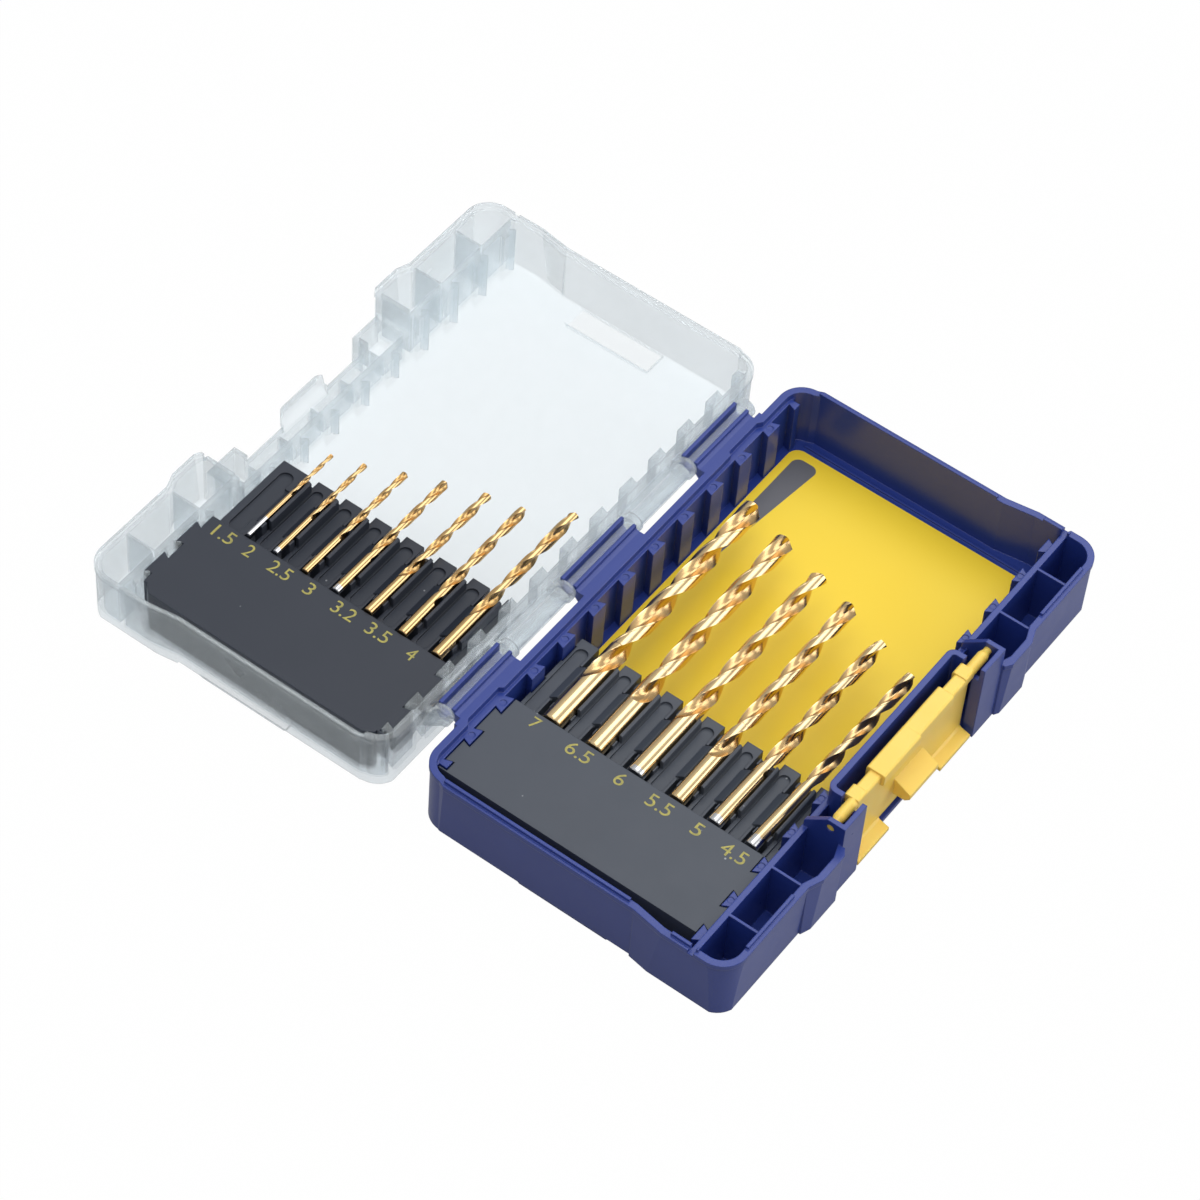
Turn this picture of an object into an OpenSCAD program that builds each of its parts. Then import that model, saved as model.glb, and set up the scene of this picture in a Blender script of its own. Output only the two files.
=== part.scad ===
// Hinged case for thirteen twist drills. The case lies open by 180 degrees, as it is
// shown on a table: the base holds the six thick drills, the clear lid the seven thin ones.
// X runs along the case, +Y from the latch to the hinge and on to the lid, +Z up.
// The origin is the centre of the underside of the base.

/* [What to draw] */
// one sub-part, or all of them

/* [Shell plan] */
// overall length of the case over the pocket ends, mm
case_length = 200; // [180:0.5:220]
// how much shorter each end is beside the tray than beside the pockets, mm
end_step = 1.75; // [0:0.05:3]
// how much the hinge corners are set in from the ends, mm
corner_set = 0.9; // [0:0.1:2]
// front wall at the corners, measured from the origin, mm
front_wall = 57.5; // [50:0.1:65]
// how far the front wall steps out beside the latch, mm
front_step = 1.9; // [0:0.1:3]
// wall on the hinge side, mm
back_wall = 56.8; // [50:0.1:65]
// inner face of the wall on the hinge side, mm
back_inner = 53.4; // [50:0.1:60]
// inner face of the raised rim on the hinge side, over the ledge that carries the ribs, mm
rim_inner = 54.6; // [52:0.1:60]
// radius of the plan corners, mm
corner_radius = 8.8; // [4:0.1:15]
// thickness of the outer walls at the rim, mm
wall = 2.3; // [1.4:0.1:3]
// thickness of the floors, mm
floor_thickness = 1.8; // [1.2:0.1:3]
// how far the outer walls lean in from rim to floor, mm
draft = 0.6; // [0:0.1:2]
// how far the rim band stands out from the walls, mm
band = 0.35; // [0:0.05:1]
// height of the rim band, mm
band_height = 1.9; // [1:0.1:4]

/* [Heights] */
// height of the base to the parting plane, mm
base_height = 24.5; // [18:0.5:32]
// depth of the lid, mm
lid_height = 22.2; // [16:0.1:30]
// gap left between the two rims when the case is shut, mm
rim_gap = 0.3; // [0.1:0.05:1]
// height of the feet below both floors, mm
foot_height = 1.2; // [0.4:0.1:3]
// height of the locating lip over the parting plane, mm
lip_height = 1; // [0.4:0.1:2]
// distance of the locating lip from the outer edge, mm
lip_inset = 1.25; // [0.8:0.05:2]
// top of the partition and the webs of the base, mm
rib_top = 23.3; // [18:0.1:24]
// top of the ribs and of the ledge on the hinge side of the base, mm
ledge_top = 22.2; // [18:0.1:24]
// top of the partition, the webs and the ribs of the lid, mm
lid_rib_top = 21.2; // [18:0.1:22]

/* [Ribs and pockets] */
// spacing of the ribs along both long sides, mm
rib_pitch = 15.35; // [10:0.05:20]
// width of a rib's head, mm
rib_head = 6.5; // [4:0.1:9]
// width of a rib's neck, mm
rib_neck = 4.6; // [2:0.1:6]
// how far a rib on the hinge side stands out from its wall, mm
rib_reach = 2.7; // [1.5:0.1:7]
// width of a rib on the partition, at its tip, mm
dovetail_width = 6.4; // [5:0.1:9]
// how far a rib stands out from the partition, mm
dovetail_reach = 2.4; // [1.5:0.1:4]
// tray side of the partition, from the origin towards the latch, mm
partition_y = 42.9; // [38:0.1:48]
// thickness of the partition, mm
partition_wall = 1.9; // [1.2:0.1:3]
// first web between the pockets, from the middle of the case, mm
web_inner = 60.4; // [50:0.1:70]
// second web, mm
web_outer = 81.7; // [72:0.1:90]
// thickness of a web, mm
web_wall = 0.9; // [0.6:0.1:2]

/* [Hinge] */
// distance of the hinge line from the origin, mm
hinge_y = 62.8; // [60:0.1:68]
// radius of the hinge rod of the lid, mm
rod_radius = 1.7; // [1.2:0.05:2.5]
// radial play of the rod in its channel, mm
rod_play = 0.08; // [0.01:0.01:0.1]
// wall of the hinge channel, mm
channel_wall = 1.15; // [0.8:0.05:2]
// top of the channel over the hinge line, mm
channel_rise = 2.9; // [2:0.1:4]
// half length of the middle channel, mm
channel_mid = 15.5; // [10:0.1:20]
// inner end of the outer channels, mm
channel_in = 47.3; // [40:0.1:55]
// outer end of the outer channels, mm
channel_out = 75.4; // [65:0.1:85]
// radius of the lid's knuckle discs, mm
knuckle_radius = 3.5; // [2.8:0.1:4.5]
// thickness of a knuckle disc, mm
knuckle_wall = 2.6; // [1:0.1:4]
// play between a knuckle disc and the end of a channel, mm
knuckle_play = 0.4; // [0.2:0.05:1]

/* [Latch] */
// distance of the latch pivot from the origin towards the front, mm
pivot_y = 52; // [48:0.1:56]
// height of the latch pivot, mm
pivot_z = 29.4; // [26:0.1:33]
// half width of the latch recess, mm
recess_half = 31.3; // [25:0.1:38]
// half width over the ears, mm
ear_half = 42.6; // [38:0.1:48]
// front face of the ears, mm
ear_front = 57; // [54:0.1:60]
// thickness of the ear walls, mm
ear_wall = 1.6; // [1:0.1:3]
// top of the ears and of the recess wall, mm
ear_top = 32.5; // [28:0.1:34]
// radius of the latch pins at the shoulders, mm
pin_radius = 1.9; // [1.2:0.05:2.5]
// radius of the pin tips in the ears, mm
tip_radius = 1.3; // [0.8:0.1:2]
// radial play of a pin tip in its ear, mm
tip_play = 0.06; // [0.01:0.01:0.1]
// half width of the latch plate, mm
latch_half = 30.4; // [24:0.1:36]
// half width of the catch tongue of the lid, mm
tongue_half = 10.8; // [6:0.1:16]

/* [Holders and card] */
// top of the base's label plate, mm
base_plate_top = 21.8; // [15:0.1:22]
// top of the lid's label plate, mm
lid_plate_top = 20.2; // [15:0.1:21]
// near edge of the label plates, mm from the middle
plate_near = 91.8; // [80:0.1:94]
// far edge of the base's label plate, mm from the middle
base_plate_far = 57.9; // [45:0.1:70]
// near end of the base's drills, mm from the middle
base_drill_end = 56.5; // [45:0.1:70]
// far edge of the lid's label plate, mm from the middle
lid_plate_far = 59.2; // [45:0.1:70]
// near end of the lid's drills, mm from the middle
lid_drill_end = 58.8; // [45:0.1:70]
// lower edge of the label plates' skirts, mm
skirt_low = 9.6; // [4:0.1:14]
// top of the deck under the drills, mm
deck_top = 12; // [10:0.5:14]
// thickness of the deck, mm
deck_wall = 2.2; // [1.2:0.1:4]
// top of the blocks between the drills, mm
block_top = 16.6; // [13:0.1:18]
// far edge of the base holder, mm from the middle
base_deck_far = 23.7; // [15:0.1:40]
// far edge of the lid holder, mm from the middle
lid_deck_far = 25.9; // [15:0.1:40]
// thickness of the holder walls, mm
holder_wall = 1.6; // [1:0.1:3]
// depth of the recess in a block, mm
recess_depth = 0.9; // [0.4:0.1:2]
// room between a drill and the block on its hinge side, mm
wedge_room = 2; // [1:0.1:4]
// width of the wedge in that room, which runs on into the block's recess, mm
wedge_width = 3.4; // [2:0.1:5]
// height of the wedge over the block, mm
wedge_rise = 1.5; // [0.5:0.1:3]
// thickness of the upright finger on a drill's other side, mm
finger_wall = 1.1; // [0.6:0.1:2]
// how far that finger reaches over the drill's axis, as a part of its radius
finger_rise = 0.6; // [0:0.05:0.9]
// gap between a drill and the block or finger beside it, mm
side_gap = 0.4; // [0.2:0.05:1]
// radial play of a drill in its saddle, mm
saddle_play = 0.06; // [0.02:0.01:0.2]
// thickness of the card, mm
card_thickness = 0.4; // [0.2:0.05:1]

/* [Drills] */
// angle of a drill point, degrees
point_angle = 118; // [90:1:140]
// slices of the helix in one turn
helix_slices = 14; // [8:1:40]

/* [Hidden] */
$fn = 48;
half = case_length / 2;
tray_half = half - end_step;
hinge_z = (base_height + lid_height + rim_gap) / 2;
channel_inner = rod_radius + rod_play;
channel_outer = channel_inner + channel_wall;
long = 400;
shell_blue = [0.2, 0.22, 0.5];
shell_clear = [0.88, 0.92, 0.93, 0.5];
latch_yellow = [1, 0.78, 0.15];
holder_grey = [0.27, 0.29, 0.31];
card_yellow = [0.98, 0.8, 0.12];
drill_gold = [0.78, 0.6, 0.3];

// each drill: size, length, fluted length, position across its tray, lean in degrees,
// length of a helix turn; both rows run from the far side towards the latch of the base
base_drills = [
    [7, 108, 90.4, 38.3, 0.5, 47],
    [6.5, 103, 82.3, 22.6, 0.7, 48.5],
    [6, 97.8, 74.6, 7.5, 0, 46.6],
    [5.5, 93.7, 75.3, -7.7, 0.6, 43],
    [5, 87.6, 65.4, -21.1, -0.6, 38],
    [4.5, 82.5, 56.5, -34.4, -1.4, 35.6]];
lid_drills = [
    [1.5, 41.2, 20.9, 26.5, 0.2, 14],
    [2, 44.9, 28, 15.9, 0.6, 19],
    [2.5, 50.2, 34, 4.4, 0.2, 21.6],
    [3, 55.4, 40, -7.4, 0.2, 26],
    [3.2, 60, 44, -20, -0.2, 27],
    [3.5, 62.4, 48, -33, 0.7, 29],
    [4, 71.1, 54.6, -46, 0.4, 33.6]];

// height of a drill's axis over the underside of the floor: thin ones sit higher
function axis_z(d) = 21.8 - 0.53 * d;
// where a leaning drill crosses the middle of its holder
function middle_y(spec) = spec[3] + 14.8 * tan(spec[4]);

// ---------- shared shapes ----------

// everything stands on the feet
module on_feet() {
    translate([0, 0, foot_height]) children();
}

module both_ends() {
    children();
    mirror([1, 0, 0]) children();
}

module slab(x0, x1, y0, y1, z0, z1) {
    translate([x0, y0, z0]) cube([x1 - x0, y1 - y0, z1 - z0]);
}

module round_rect(x, y0, y1, r) {
    translate([-x + r, y0]) square([2 * (x - r), y1 - y0]);
    translate([-x, y0 + r]) square([2 * x, y1 - y0 - 2 * r]);
    for (cx = [-x + r, x - r], cy = [y0 + r, y1 - r]) translate([cx, cy]) circle(r = r);
}

// a profile drawn in (y, z), run along x
module along_x(x0, x1) {
    translate([x0, 0, 0]) rotate([90, 0, 90]) linear_extrude(height = x1 - x0) children();
}

// the tray part of the plan, e inside the rim
module tray_plan(e) {
    round_rect(tray_half - corner_set - e, -front_wall + e, back_wall - e, corner_radius - e);
    polygon([
        [tray_half - e, -40], [tray_half - e, 46.5], [tray_half - corner_set - e, 48.5],
        [-tray_half + corner_set + e, 48.5], [-tray_half + e, 46.5], [-tray_half + e, -40]]);
}

// the wider part of the plan that holds the pockets
module pocket_plan(e) {
    round_rect(half - e, -front_wall + e, -30, corner_radius - e);
    polygon([
        [half - e, -46], [half - e, -33.3], [tray_half - e, -22.3],
        [-tray_half + e, -22.3], [-half + e, -33.3], [-half + e, -46]]);
}

// the front wall steps out beside the latch
module step_plan(e) {
    both_ends() polygon([
        [ear_half - 0.6, -54], [ear_half - 0.6, -front_wall + e], [ear_half + 2.3 + e, -front_wall - front_step + e],
        [55.5, -front_wall - front_step + e], [60.5, -front_wall + e], [60.5, -54]]);
}

module plan(e) {
    tray_plan(e);
    difference() {
        pocket_plan(e);
        translate([-half, -30 - e]) square([case_length, 40]);
    }
    polygon([
        [tray_half - e, -20], [-tray_half + e, -20],
        [-tray_half + e, -22.3], [-half + e, -33.3], [half - e, -33.3], [tray_half - e, -22.3]]);
    step_plan(e);
}

// a straight wall leaning in towards the floor
module lean(x, y0, y1, h) {
    intersection() {
        along_x(-long / 2, long / 2) polygon([[-y0 + draft, 0], [y1 - draft, 0], [y1, h], [-y0, h]]);
        rotate([90, 0, 0]) linear_extrude(height = long, center = true)
            polygon([[-x + draft, 0], [x - draft, 0], [x, h], [-x, h]]);
    }
}

module tub_outside(h) {
    low = h - band_height;
    intersection() {
        linear_extrude(height = low) tray_plan(band);
        lean(tray_half - band, front_wall - band, back_wall - band, low);
    }
    intersection() {
        linear_extrude(height = low) pocket_plan(band);
        lean(half - band, front_wall - band, back_wall, low);
    }
    intersection() {
        linear_extrude(height = low) step_plan(band);
        lean(half, front_wall + front_step - band, back_wall, low);
    }
    translate([0, 0, low]) linear_extrude(height = band_height) plan(0);
}

// the tray inside the shell
module tray_space(h, ledge) {
    for (step = [[floor_thickness, back_inner], [ledge, rim_inner]])
        translate([0, 0, step[0]]) linear_extrude(height = h) intersection() {
            plan(wall);
            translate([-half, -partition_y]) square([case_length, partition_y + step[1]]);
        }
}

// the pockets at both ends of the front wall
module pocket_space(h, inner_end) {
    front = partition_y + partition_wall;
    both_ends() difference() {
        translate([0, 0, floor_thickness]) linear_extrude(height = h) intersection() {
            plan(wall);
            translate([inner_end, -front - 20]) square([half, 20]);
        }
        for (x = [web_inner, web_outer]) slab(x - web_wall / 2, x + web_wall / 2, -front - 20, -front + 1, 0, h - 1);
    }
}

// plan of a dovetail rib on the hinge side, g larger all round; it points along -y
module hinge_rib_plan(g) {
    neck = rib_neck / 2 + g;
    head = rib_head / 2 + g;
    polygon([[neck, 0.3], [neck, 0], [head, -rib_reach - g], [-head, -rib_reach - g], [-neck, 0], [-neck, 0.3]]);
}

// plan of a dovetail rib on the partition, g larger all round; it points along +y
module dovetail_plan(g) {
    neck = dovetail_width * 0.3 + g;
    head = dovetail_width / 2 + g;
    polygon([[neck, -0.3], [neck, 0.2], [head, dovetail_reach + g], [-head, dovetail_reach + g], [-neck, 0.2], [-neck, -0.3]]);
}

module rib_plans(g, front_from) {
    for (i = [-5 : 5]) translate([i * rib_pitch, back_inner]) hinge_rib_plan(g);
    for (i = [-5 : 5]) if (abs(i) >= front_from) translate([i * rib_pitch, -partition_y]) dovetail_plan(g);
    both_ends() {
        intersection() {
            translate([91.2, back_inner]) hinge_rib_plan(g);
            translate([80, 0]) square([10.9 + g, 90]);
        }
        translate([91.6, -partition_y]) dovetail_plan(g);
    }
}

// the ribs of one shell, with the round mark of an ejector pin on top of each
module rib_rows(top, front_from) {
    difference() {
        linear_extrude(height = top) rib_plans(0, front_from);
        translate([0, 0, top - 0.25]) linear_extrude(height = 1) {
            for (i = [-5 : 5]) translate([i * rib_pitch, back_inner - 1.1]) circle(r = 1.1);
            for (i = [-5 : 5]) if (abs(i) >= front_from)
                translate([i * rib_pitch, -partition_y + 1.3]) circle(r = 1.1);
        }
    }
}

// ---------- base ----------

// where the locating lip stands on the rim
module lip_runs() {
    both_ends() {
        translate([tray_half - wall, -20]) square([wall - lip_inset, 67]);
        translate([half - wall, -45.5]) square([wall - lip_inset, 9.5]);
        translate([66, -front_wall + lip_inset]) square([23, wall - lip_inset]);
    }
}

// the wall behind the latch, curled forward at both ends
module recess_wall() {
    back = partition_y + 0.8;
    linear_extrude(height = ear_top) both_ends() {
        translate([-0.1, -back - 2]) square([30.3, 2]);
        translate([30.2, -back - 3]) intersection() {
            difference() {
                circle(r = 3);
                circle(r = 1.1);
            }
            square([4, 4]);
        }
        translate([31.3, -back - 5.6]) square([1.9, 2.7]);
    }
}

module ear() {
    pocket_side = ear_half - ear_wall;
    difference() {
        union() {
            along_x(pocket_side, ear_half) polygon([
                [-partition_y - 0.3, 0], [-ear_front, 0], [-ear_front, ear_top],
                [-50.8, ear_top], [-partition_y - 1, 26.6], [-partition_y - 0.3, 26]]);
            slab(recess_half, ear_half, -ear_front, -ear_front + ear_wall, 0, ear_top);
            slab(recess_half, recess_half + ear_wall, -ear_front, -53, 0, pivot_z - pin_radius - 0.5);
        }
        translate([pocket_side - 1, -pivot_y, pivot_z]) rotate([0, 90, 0])
            cylinder(r = tip_radius + tip_play, h = ear_wall + 2);
    }
}

// the three open channels that hold the lid's rod
module hinge_channel(x0, x1) {
    inner_y = hinge_y - channel_outer;
    difference() {
        union() {
            along_x(x0, x1) translate([hinge_y, hinge_z]) circle(r = channel_outer);
            slab(x0, x1, inner_y, hinge_y + channel_outer, hinge_z, hinge_z + channel_rise);
            along_x(x0, x1) polygon([
                [back_wall - 1, 16.5], [inner_y + 0.8, hinge_z - 1.2], [inner_y + 0.8, base_height + 0.7],
                [inner_y - 1.2, base_height], [back_wall - 1, base_height]]);
        }
        along_x(x0 - 1, x1 + 1) {
            translate([hinge_y, hinge_z]) circle(r = channel_inner);
            translate([hinge_y - channel_inner, hinge_z]) square([2 * channel_inner, 10]);
        }
    }
}

// two low feet under each floor
module feet() {
    both_ends() along_foot();
}

module along_foot() {
    translate([88, 0, 0]) rotate([90, 0, 90]) linear_extrude(height = 8.9)
        polygon([[-14.6, 0.1], [-13.4, -foot_height], [18.4, -foot_height], [19.6, 0.1]]);
}

module base_shell() {
    color(shell_blue) on_feet() {
        feet();
        difference() {
            union() {
                tub_outside(base_height);
                linear_extrude(height = base_height + lip_height) lip_runs();
                both_ends() slab(channel_in + 9.5, channel_out + 2.8, 54, back_wall + 1, 0.8, base_height);
            }
            tray_space(base_height, ledge_top);
            pocket_space(base_height, ear_half);
            both_ends() translate([0, 0, ledge_top]) linear_extrude(height = 9) polygon([
                [57.8, rim_inner - 1], [59.2, back_wall - 0.95], [74, back_wall - 0.95], [77, rim_inner - 1]]);
            slab(-long, long, -partition_y - partition_wall, -partition_y + 0.1, rib_top, base_height + 3);
            for (s = [-1, 1], x = [web_inner, web_outer])
                slab(s * x - 1, s * x + 1, -front_wall + wall, -partition_y, rib_top, base_height + 3);
            // the latch recess and the hollows beside it
            slab(-ear_half, ear_half, -front_wall - 9, -partition_y - 2.4, floor_thickness - 0.2, 99);
            slab(-recess_half, recess_half, -front_wall - 9, -53.5, -1, 99);
            slab(-ear_half, ear_half, -front_wall - 9, -ear_front, -1, 99);
        }
        rib_rows(ledge_top, 2);
        recess_wall();
        both_ends() ear();
        hinge_channel(-channel_mid, channel_mid);
        both_ends() hinge_channel(channel_in, channel_out);
        raised_border();
    }
}

// a low border on the floor at the far end
module raised_border() {
    slab(92.6, 93.6, -38, 48, floor_thickness - 0.1, floor_thickness + 0.7);
}

// ---------- lid ----------

// the lid is drawn as a second tub and turned over the hinge line
module lid_place() {
    translate([0, 2 * hinge_y, 0]) mirror([0, 1, 0]) children();
}

module knuckle(x) {
    along_x(x, x + knuckle_wall) {
        translate([hinge_y, hinge_z]) circle(r = knuckle_radius);
        polygon([
            [back_wall - 1, 14.5], [back_wall + 1.5, 15.5], [hinge_y + 0.5, hinge_z - knuckle_radius],
            [hinge_y, hinge_z + knuckle_radius], [back_wall + 1.2, lid_height - 0.1], [back_wall - 1, lid_height - 0.1]]);
    }
}

module hinge_rods() {
    along_x(-channel_out - knuckle_play - 1, channel_out + knuckle_play + 1)
        translate([hinge_y, hinge_z]) circle(r = rod_radius);
    first = channel_mid + knuckle_play;
    last = channel_in - knuckle_play;
    both_ends() {
        knuckle(first);
        knuckle(last - knuckle_wall);
        knuckle(channel_out + knuckle_play);
        along_x(first, last) translate([hinge_y, hinge_z]) circle(r = 2.6);
        along_x(first, last) polygon([
            [back_wall - 1, 18.4], [hinge_y - 1, hinge_z - 2.2], [hinge_y - 1, hinge_z - 0.2],
            [back_wall - 1, 20]]);
    }
}

// the clear shell is cut back in the middle, where the recess wall and the ears of the base reach up
module lid_front_cut() {
    slab(-ear_half - 0.4, ear_half + 0.4, -front_wall - 9, -partition_y + 0.1, 13.6, 99);
    slab(-ear_half - 0.4, ear_half + 0.4, -front_wall - 9, -56.3, -1, 99);
    slab(-29.5, 29.5, -front_wall - 9, -51.8, -1, 99);
    slab(-29.5, 29.5, -front_wall - 9, -50.2, 10.2, 99);
}

module tongue() {
    intersection() {
        along_x(-tongue_half, tongue_half) polygon([
            [-50.4, 5.5], [-51.8, 5.5], [-54.7, 10.6], [-54.7, 14.8], [-53.2, 14.8], [-52.6, 11.2], [-50.4, 10]]);
        linear_extrude(height = 20) round_rect(tongue_half, -54.7, -40, 3);
    }
}

// the rebate that takes the locating lip of the base
module rim_rebate() {
    translate([0, 0, lid_height - lip_height - 0.4]) linear_extrude(height = 9) difference() {
        plan(lip_inset - 0.35);
        plan(wall);
        translate([-half, 48.4]) square([case_length, 20]);
    }
}

// the middle of the lid's front: a lower box with cells, between two short cheeks
module lid_front() {
    slab(-31.1, 31.1, -51.8, -50.2, 0.5, 10.2);
    both_ends() slab(29.5, 31.1, -54.9, -51, 0.5, 13.6);
    for (i = [-2 : 2]) slab(i * rib_pitch - 0.6, i * rib_pitch + 0.6, -50.4, -partition_y - 1, 1, 10);
    tongue();
}

module lid_shell() {
    color(shell_clear) on_feet() lid_place() {
        difference() {
            tub_outside(lid_height);
            tray_space(lid_height, lid_rib_top);
            pocket_space(lid_height, ear_half + 2);
            slab(-long, long, -partition_y - partition_wall, -partition_y + 0.1, lid_rib_top, lid_height + 3);
            for (s = [-1, 1], x = [web_inner, web_outer])
                slab(s * x - 1, s * x + 1, -front_wall + wall, -partition_y, lid_rib_top, lid_height + 3);
            rim_rebate();
            lid_front_cut();
            // hollow middle of the front, open towards the base
            slab(-41, 41, -54.7, -partition_y - partition_wall, floor_thickness, 99);
        }
        feet();
        lid_front();
        lid_ribs();
        hinge_rods();
    }
}

module lid_ribs() {
    difference() {
        rib_rows(lid_rib_top, 0);
        slab(-ear_half - 1, ear_half + 1, -partition_y - 1, -30, 13.6, 99);
    }
}

// ---------- latch ----------

module latch_bar(x0, x1, back, front, low, high) {
    r = 0.9;
    along_x(x0, x1) {
        translate([-front + r, low]) square([front - back - 2 * r, high - low]);
        translate([-front, low + r]) square([front - back, high - low - 2 * r]);
        for (y = [-front + r, -back - r], z = [low + r, high - r]) translate([y, z]) circle(r = r);
    }
}

module latch() {
    flange_low = 0.9;
    color(latch_yellow) on_feet() {
        latch_bar(-30.8, 30.8, 49.5, 53.8, 27.3, 30.9);
        latch_bar(-18.9, 0.4, 48.4, 55, 26.8, 31.7);
        latch_bar(0, 18.9, 48.4, 54.4, 26.8, 31.6);
        both_ends() {
            latch_bar(26.2, 30.8, 48.7, 53.8, 27.3, 31.3);
            translate([30, -pivot_y, pivot_z]) rotate([0, 90, 0]) {
                cylinder(r = pin_radius, h = 8.2);
                translate([0, 0, 8.2]) cylinder(r1 = pin_radius, r2 = tip_radius, h = 1.6);
                translate([0, 0, 9.8]) cylinder(r = tip_radius, h = 2.5);
            }
            // foot with its flange, on each side of the middle
            slab(13.8, latch_half, -52.6, -50.4, 2.2, 6);
            along_x(13.8, 30.2) polygon([
                [-50.9, 2.2], [-52.6, 2.2], [-56.8, flange_low], [-56.8, flange_low + 1.4],
                [-53.4, 3.4], [-52, 4.6]]);
        }
        slab(-latch_half, latch_half, -52.6, -50.4, 3.2, 29);
        // finger block with a sloped top and a chamfered lower edge
        along_x(-7.6, 7.6) polygon([
            [-52, 16.6], [-52.6, 16.4], [-58.8, 13.1], [-58.8, 11.2], [-57.2, 9.6], [-52, 9.6]]);
    }
}

// ---------- drill holders and card ----------

// label plate and deck: thin shells with a short skirt, standing on legs
module holder_body(plate_far, far, deck_low, deck_high, plate_low, plate_high, plate_top, foot) {
    difference() {
        slab(-plate_near, -plate_far, plate_low, plate_high, skirt_low, plate_top);
        slab(-plate_near + holder_wall, -plate_far - holder_wall, plate_low + 4, plate_high - 4, 0, plate_top - 2);
    }
    difference() {
        slab(-plate_far - holder_wall, -far, deck_low, deck_high, deck_top - 4, deck_top);
        slab(-plate_far - 0.1, -far - holder_wall, deck_low + 4, deck_high - 4, 0, deck_top - deck_wall);
    }
    for (x = [-76, -40], y = [deck_low + 9, (deck_low + deck_high) / 2, deck_high - 9])
        translate([x, y, foot]) cylinder(r = 2.6, h = (x < -plate_far ? plate_top : deck_top) - 1 - foot);
}

// a block between two drills, with a shallow round-ended recess; it is open where
// the wedge (w0 to w1) stands in it
module block(x0, x1, y0, y1, w0, w1) {
    mid = (y0 + y1) / 2 - 0.2;
    r = min(2.5, (y1 - y0) / 2 - 1.1);
    side = r - 0.03;
    difference() {
        slab(x0, x1, y0, y1, deck_top - 0.2, block_top);
        if (r > 0.8) translate([0, 0, block_top - recess_depth]) linear_extrude(height = 2) {
            translate([x0 + r + 2.2, mid]) circle(r = r);
            translate([x1 - r - 3, mid]) circle(r = r);
            translate([x0 + r + 2.2, mid - side]) square([x1 - x0 - 2 * r - 5.2, 2 * side]);
            translate([w0 - 0.9, y0 - 1]) square([w1 - w0 + 1.3, mid - y0 + 1]);
        }
    }
}

// the wedge on a drill's hinge side: it slopes down into the recess of the next block
module wedge(x0, x1, y) {
    along_x(x0, x1) polygon([
        [y, deck_top - 0.2], [y + wedge_width, deck_top - 0.2], [y + wedge_width, block_top - recess_depth],
        [y + 0.4, block_top + wedge_rise], [y, block_top + wedge_rise - 0.4]]);
}

// the thin upright finger on a drill's other side
module thin_finger(x0, x1, y, high) {
    along_x(x0, x1) polygon([
        [y, deck_top - 0.2], [y, high - 0.3], [y - 0.4, high],
        [y - finger_wall, high - 0.5], [y - finger_wall, deck_top - 0.2]]);
}

module saddle(x, d) {
    r = d / 2;
    z = axis_z(d);
    difference() {
        slab(x, x + 2.4, -r - side_gap - 0.2, r + side_gap + 0.2, deck_top - 0.2, z - 0.1);
        translate([x - 1, 0, z]) rotate([0, 90, 0]) cylinder(r = r + saddle_play, h = 5);
    }
}

module holder(drills, drill_end, plate_far, far, deck_low, deck_high, plate_low, plate_high, plate_top, foot) {
    last = len(drills) - 1;
    w0 = -drill_end + 9.4;
    w1 = -drill_end + 23.7;
    holder_body(plate_far, far, deck_low, deck_high, plate_low, plate_high, plate_top, foot);
    for (i = [0 : last]) {
        d = drills[i][0];
        r = d / 2 + side_gap;
        y = middle_y(drills[i]);
        next = drills[min(i + 1, last)];
        floor_y = i < last ? middle_y(next) + next[0] / 2 + side_gap + wedge_room : deck_low;
        if (y - r - floor_y > 1) block(-plate_far - 0.1, -far, floor_y, y - r, w0, w1);
        wedge(w0, w1, y + r);
        thin_finger(w0 - 1, w1 + 4.3, y - r, axis_z(d) + d / 2 * finger_rise);
        translate([-drill_end, drills[i][3], 0]) rotate([0, 0, drills[i][4]]) {
            saddle(5, d);
            saddle(26, d);
        }
    }
    start = middle_y(drills[0]) + drills[0][0] / 2 + side_gap + wedge_room;
    if (deck_high - start > 1) block(-plate_far - 0.1, -far, start, deck_high, w0, w1);
}

// the room the ribs need, as a full-height shape
module rib_room() {
    translate([0, 0, -1]) linear_extrude(height = 60) rib_plans(0.45, 2);
}

module base_bit_holder() {
    color(holder_grey) on_feet() difference() {
        holder(base_drills, base_drill_end, base_plate_far, base_deck_far,
            0.4 - partition_y, 50.8, 0.4 - partition_y, back_inner - 0.4, base_plate_top,
            floor_thickness + card_thickness + 0.1);
        rib_room();
        // no tab beyond the last rib
        slab(-61, -50, 50.85, 60, 0, 60);
    }
}

module lid_bit_holder() {
    color(holder_grey) on_feet() translate([0, 2 * hinge_y, 0]) difference() {
        holder(lid_drills, lid_drill_end, lid_plate_far, lid_deck_far,
            -49.5, 39.2, 0.4 - back_inner, partition_y - 0.4, lid_plate_top, floor_thickness + 0.05);
        mirror([0, 1, 0]) rib_room();
    }
}

module insert_card() {
    low = -partition_y + dovetail_reach + 0.4;
    high = back_inner - rib_reach - 0.4;
    corner = 4;
    color(card_yellow) on_feet() translate([0, 0, floor_thickness + 0.05]) linear_extrude(height = card_thickness) {
        translate([-94, low]) square([180.6, high - low]);
        translate([80, low + 5.6]) square([10.8, high - low - 5.6 - corner]);
        translate([90.8 - corner, high - corner]) circle(r = corner);
    }
}

// ---------- drills ----------

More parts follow.
